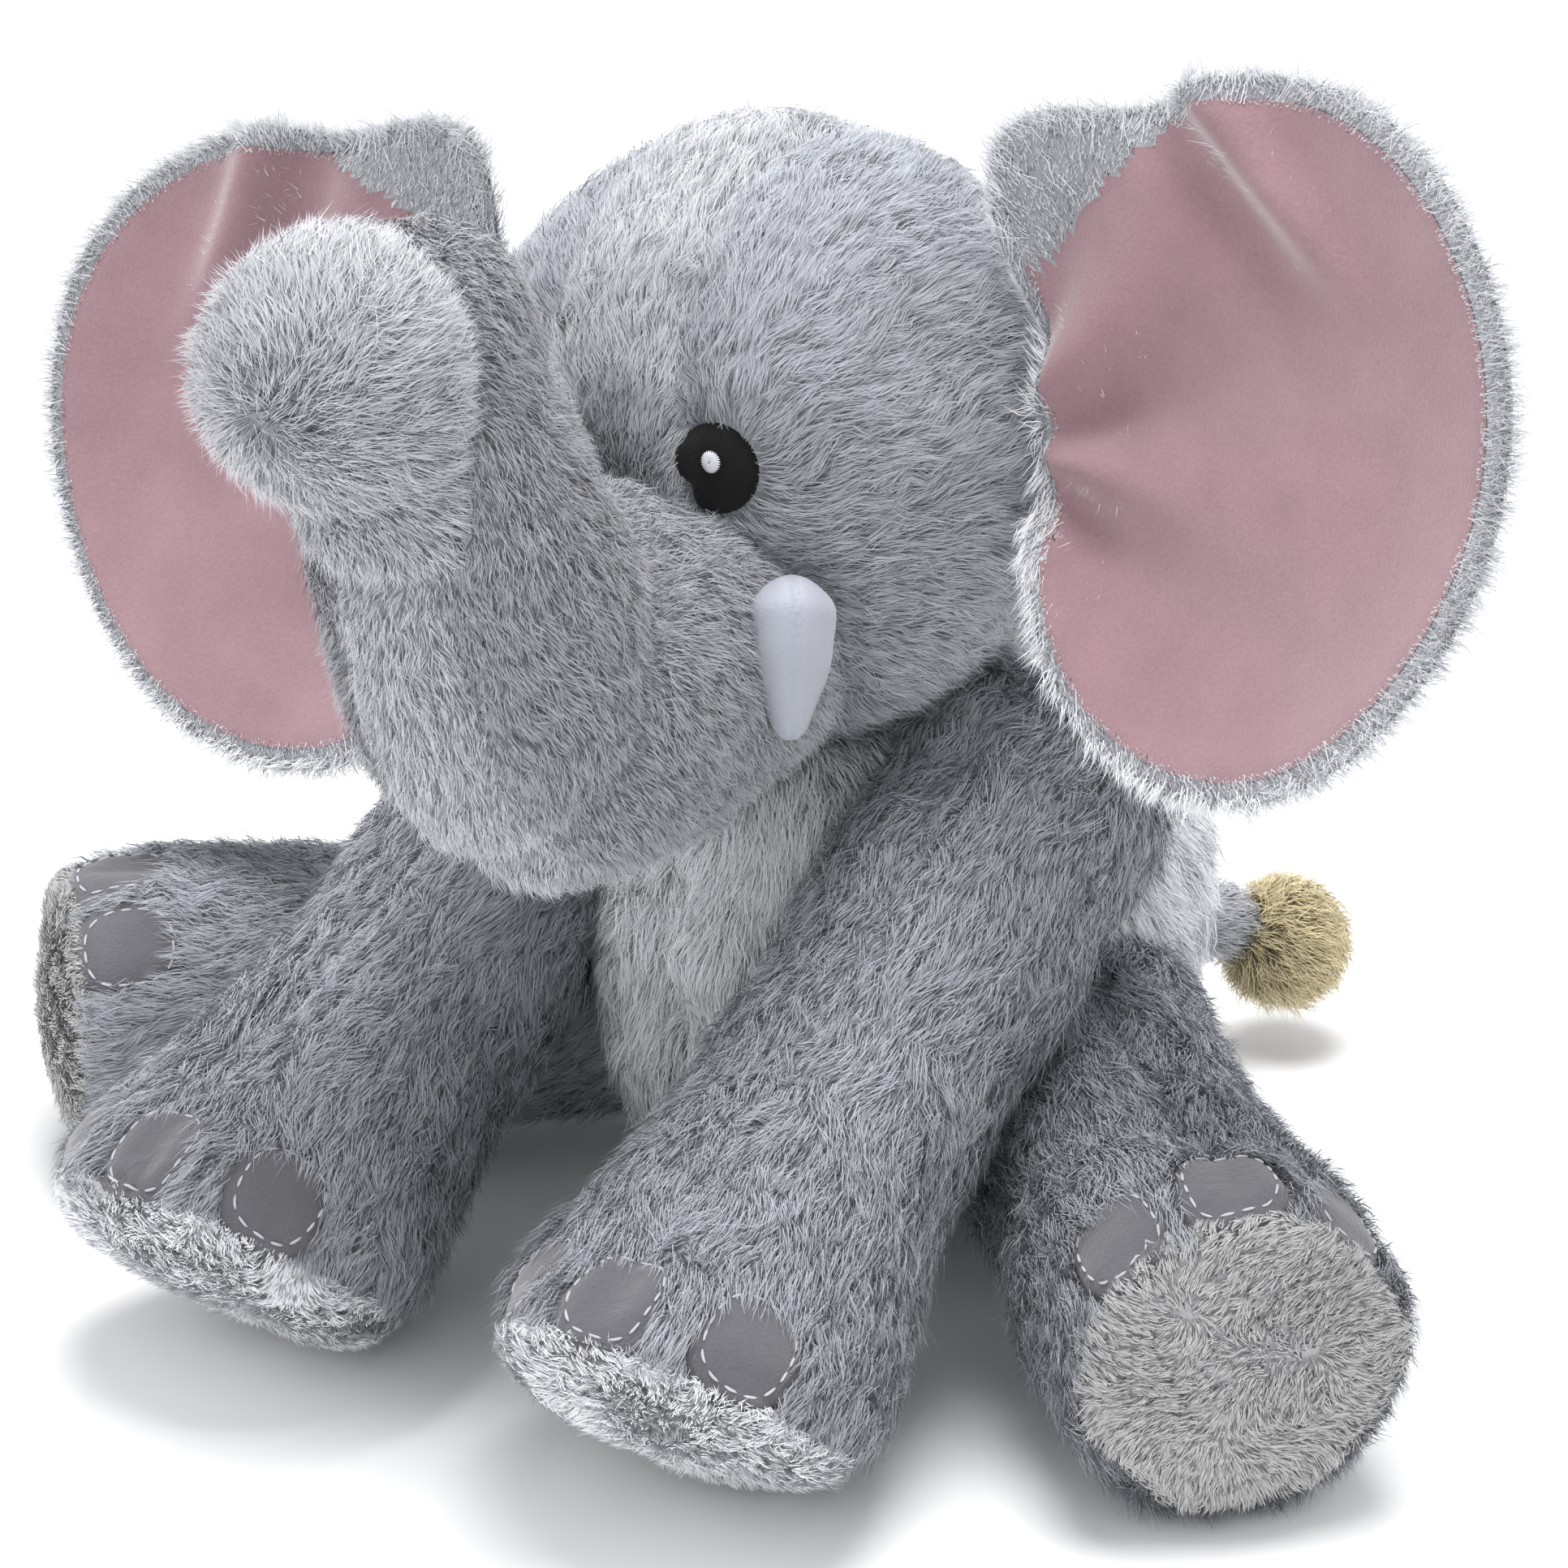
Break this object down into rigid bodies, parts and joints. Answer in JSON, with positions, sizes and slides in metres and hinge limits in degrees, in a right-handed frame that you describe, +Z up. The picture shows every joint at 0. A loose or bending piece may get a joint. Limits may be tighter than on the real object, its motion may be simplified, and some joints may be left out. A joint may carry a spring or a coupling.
{
  "type": "plush elephant",
  "caption": "Seated plush elephant with a raised trunk, dished ears, felt nails and sewn joints that flex and spring back.",
  "frame": {"origin": "on the ground, at the middle of the flat underside of the seat", "axes": "+Z up, the elephant faces -Y, its left side is +X"},
  "size_m": [0.3719, 0.3206, 0.2835],
  "materials": {
    "pile_grey": "long soft pile, grey",
    "pile_light": "long soft pile, pale grey",
    "plush_pink": "short velvety pile, dusty pink",
    "felt_black": "black felt",
    "felt_grey": "short grey nap, stitched edge",
    "satin_white": "smooth white cloth",
    "thread_white": "embroidery thread",
    "fibre": "loose polyester fibre",
    "tuft_tan": "long tan pile",
    "sole_cloth": "dense short pile, pale grey"
  },
  "bodies": {
    "torso": {"torso_left": "pile_grey", "torso_right": "pile_grey", "torso_stuffing": "fibre"},
    "neck": {"neck_stuffing": "fibre"},
    "head": {"head_left": "pile_grey", "head_right": "pile_grey", "head_gusset": "pile_light", "head_stuffing": "fibre", "muzzle_left": "pile_grey", "eye_left": "felt_black", "eye_glint_left": "thread_white", "tusk_left": "satin_white", "tusk_filling_left": "fibre", "muzzle_right": "pile_grey", "eye_right": "felt_black", "eye_glint_right": "thread_white", "tusk_right": "satin_white", "tusk_filling_right": "fibre", "muzzle_underside": "pile_light"},
    "trunk": {"trunk_left": "pile_grey", "trunk_right": "pile_grey", "trunk_underside": "pile_light", "trunk_tip": "pile_light", "trunk_stuffing": "fibre"},
    "ear_left": {"ear_back_left": "pile_grey", "ear_lining_left": "plush_pink"},
    "ear_right": {"ear_back_right": "pile_grey", "ear_lining_right": "plush_pink"},
    "tail": {"tail_stem": "pile_light", "tail_tuft": "tuft_tan"},
    "arm_left": {"arm_left_outer": "pile_grey", "arm_left_inner": "pile_grey", "arm_left_sole": "sole_cloth", "arm_left_stuffing": "fibre", "arm_left_nail_1": "felt_grey", "arm_left_nail_2": "felt_grey", "arm_left_nail_3": "felt_grey"},
    "arm_right": {"arm_right_outer": "pile_grey", "arm_right_inner": "pile_grey", "arm_right_sole": "sole_cloth", "arm_right_stuffing": "fibre", "arm_right_nail_1": "felt_grey", "arm_right_nail_2": "felt_grey", "arm_right_nail_3": "felt_grey"},
    "leg_left": {"leg_left_outer": "pile_grey", "leg_left_inner": "pile_grey", "leg_left_sole": "sole_cloth", "leg_left_stuffing": "fibre", "leg_left_nail_1": "felt_grey", "leg_left_nail_2": "felt_grey", "leg_left_nail_3": "felt_grey"},
    "leg_right": {"leg_right_outer": "pile_grey", "leg_right_inner": "pile_grey", "leg_right_sole": "sole_cloth", "leg_right_stuffing": "fibre", "leg_right_nail_1": "felt_grey", "leg_right_nail_2": "felt_grey", "leg_right_nail_3": "felt_grey"}
  },
  "joints": [
    {"name": "neck_turn", "type": "hinge", "parent": "torso", "child": "neck", "pos_m": [0, -0.044, 0.148], "axis": [0, 0, 1], "range_deg": [-20, 20], "stiffness_Nm_per_rad": 2},
    {"name": "neck_nod", "type": "hinge", "parent": "neck", "child": "head", "pos_m": [0, -0.044, 0.148], "axis": [1, 0, 0], "range_deg": [-8, 5], "stiffness_Nm_per_rad": 5},
    {"name": "trunk_bend", "type": "hinge", "parent": "head", "child": "trunk", "pos_m": [0.00534, -0.158, 0.16251], "axis": [0.9816, 0, 0.1908], "range_deg": [-15, 40], "stiffness_Nm_per_rad": 1.2},
    {"name": "ear_left_flap", "type": "hinge", "parent": "head", "child": "ear_left", "pos_m": [0.06457, -0.06, 0.19848], "axis": [-0.1908, 0, 0.9816], "range_deg": [-15, 15], "stiffness_Nm_per_rad": 0.3},
    {"name": "ear_right_flap", "type": "hinge", "parent": "head", "child": "ear_right", "pos_m": [-0.06304, -0.06, 0.17367], "axis": [0.1908, 0, -0.9816], "range_deg": [-15, 15], "stiffness_Nm_per_rad": 0.3},
    {"name": "arm_left_swing", "type": "hinge", "parent": "torso", "child": "arm_left", "pos_m": [0.053, -0.04, 0.11], "axis": [1, 0, 0], "range_deg": [-10, 0], "stiffness_Nm_per_rad": 2},
    {"name": "arm_right_swing", "type": "hinge", "parent": "torso", "child": "arm_right", "pos_m": [-0.053, -0.04, 0.11], "axis": [1, 0, 0], "range_deg": [-10, 0], "stiffness_Nm_per_rad": 2},
    {"name": "leg_left_splay", "type": "hinge", "parent": "torso", "child": "leg_left", "pos_m": [0.045, -0.014, 0.04], "axis": [0, 0, 1], "range_deg": [-3, 18], "stiffness_Nm_per_rad": 2},
    {"name": "leg_right_splay", "type": "hinge", "parent": "torso", "child": "leg_right", "pos_m": [-0.045, -0.014, 0.04], "axis": [0, 0, -1], "range_deg": [-3, 18], "stiffness_Nm_per_rad": 2},
    {"name": "tail_wag", "type": "hinge", "parent": "torso", "child": "tail", "pos_m": [0.017, 0.057, 0.044], "axis": [0, 0, 1], "range_deg": [-18, 18], "stiffness_Nm_per_rad": 0.05}
  ]
}
